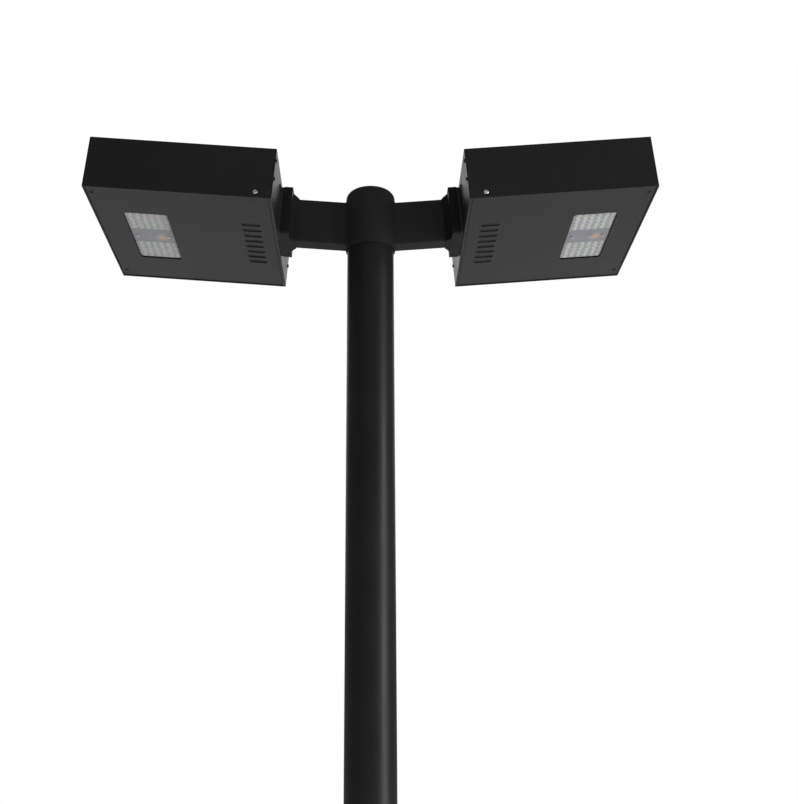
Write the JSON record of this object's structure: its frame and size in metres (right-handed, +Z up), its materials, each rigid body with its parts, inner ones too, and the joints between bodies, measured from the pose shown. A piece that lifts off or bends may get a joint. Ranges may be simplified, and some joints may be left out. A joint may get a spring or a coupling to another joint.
{
  "type": "solar street lamp",
  "caption": "Round black pole on a square base plate, with a slip-over bracket, flat arms and box-shaped solar heads that have drop-down service doors and square lens windows.",
  "frame": {"origin": "centre of the base plate's underside, on the pole's axis", "axes": "+Z up along the pole, X along the arms, -Y the side seen in the picture, with the left head at -X"},
  "size_m": [1.1758, 0.4372, 3.0858],
  "materials": {
    "black_powder_coat": "satin black powder coat",
    "head_powder_coat": "satin black powder coat",
    "black_anodised": "black anodised",
    "filter_mat": "fine woven filter mesh",
    "grey_plastic": "moulded grey plastic",
    "stainless_screws": "bright stainless",
    "black_oxide_screws": "black oxide",
    "zinc_plated_steel": "zinc plated",
    "black_rubber": "EPDM rubber",
    "solar_glass": "tempered low-iron glass",
    "silicon_cells": "dark blue monocrystalline silicon",
    "backing_sheet": "black backsheet",
    "black_plastic": "moulded black plastic",
    "clear_lens": "clear moulded acrylic",
    "white_board": "white solder mask",
    "led_phosphor": "yellow phosphor",
    "bare_aluminium": "extruded aluminium",
    "cell_wrap": "blue shrink wrap",
    "red_button": "moulded red plastic",
    "lead_sheath": "black cable sheath"
  },
  "bodies": {
    "pole": {"pole_tube": "black_powder_coat", "base_plate": "black_powder_coat"},
    "bracket": {"sleeve": "black_powder_coat", "sleeve_cap": "black_powder_coat", "set_screws": "black_oxide_screws", "flange_bolts": "stainless_screws", "pivot_screws": "stainless_screws", "case_screws": "black_oxide_screws", "clamp_screws": "zinc_plated_steel", "led_standoffs": "zinc_plated_steel", "left_arm": "black_powder_coat", "right_arm": "black_powder_coat", "left_arm_flange": "black_powder_coat", "right_arm_flange": "black_powder_coat", "left_flange_gasket": "black_rubber", "right_flange_gasket": "black_rubber", "left_mount_plate": "zinc_plated_steel", "right_mount_plate": "zinc_plated_steel", "left_housing": "head_powder_coat", "right_housing": "head_powder_coat", "left_end_plate": "head_powder_coat", "right_end_plate": "head_powder_coat", "left_panel_frame": "black_anodised", "right_panel_frame": "black_anodised", "left_solar_glass": "solar_glass", "right_solar_glass": "solar_glass", "left_solar_cells": "silicon_cells", "right_solar_cells": "silicon_cells", "left_panel_backing": "backing_sheet", "right_panel_backing": "backing_sheet", "left_junction_box": "black_plastic", "right_junction_box": "black_plastic", "left_lens_modules": "clear_lens", "right_lens_modules": "clear_lens", "left_lens_clamp": "grey_plastic", "right_lens_clamp": "grey_plastic", "left_led_board": "white_board", "right_led_board": "white_board", "left_led_chips": "led_phosphor", "right_led_chips": "led_phosphor", "left_heat_sink": "bare_aluminium", "right_heat_sink": "bare_aluminium", "left_battery_cells": "cell_wrap", "right_battery_cells": "cell_wrap", "left_battery_holders": "black_plastic", "right_battery_holders": "black_plastic", "left_battery_strap": "zinc_plated_steel", "right_battery_strap": "zinc_plated_steel", "left_controller": "black_plastic", "right_controller": "black_plastic", "left_wiring_harness": "lead_sheath", "right_wiring_harness": "lead_sheath"},
    "left_door": {"left_door": "head_powder_coat", "left_closing_screws": "black_oxide_screws", "left_vent_screen": "filter_mat"},
    "right_door": {"right_door": "head_powder_coat", "right_closing_screws": "black_oxide_screws", "right_vent_screen": "filter_mat"},
    "left_button": {"left_power_button": "red_button"},
    "right_button": {"right_power_button": "red_button"}
  },
  "joints": [
    {"name": "bracket_swivel", "type": "hinge", "parent": "pole", "child": "bracket", "pos_m": [0, 0, 3], "axis": [0, 0, 1], "range_deg": [-180, 180]},
    {"name": "left_door_hinge", "type": "hinge", "parent": "bracket", "child": "left_door", "pos_m": [-0.23443, 0, 2.95755], "axis": [0, -1, 0], "range_deg": [0, 75]},
    {"name": "left_button_press", "type": "slide", "parent": "bracket", "child": "left_button", "axis": [0.075, 0, 0.9972], "range_m": [0, 0.0025], "stiffness_N_per_m": 400, "springref_m": -0.001},
    {"name": "right_door_hinge", "type": "hinge", "parent": "bracket", "child": "right_door", "pos_m": [0.23443, 0, 2.95755], "axis": [0, 1, 0], "range_deg": [0, 75]},
    {"name": "right_button_press", "type": "slide", "parent": "bracket", "child": "right_button", "axis": [-0.075, 0, 0.9972], "range_m": [0, 0.0025], "stiffness_N_per_m": 400, "springref_m": -0.001}
  ]
}
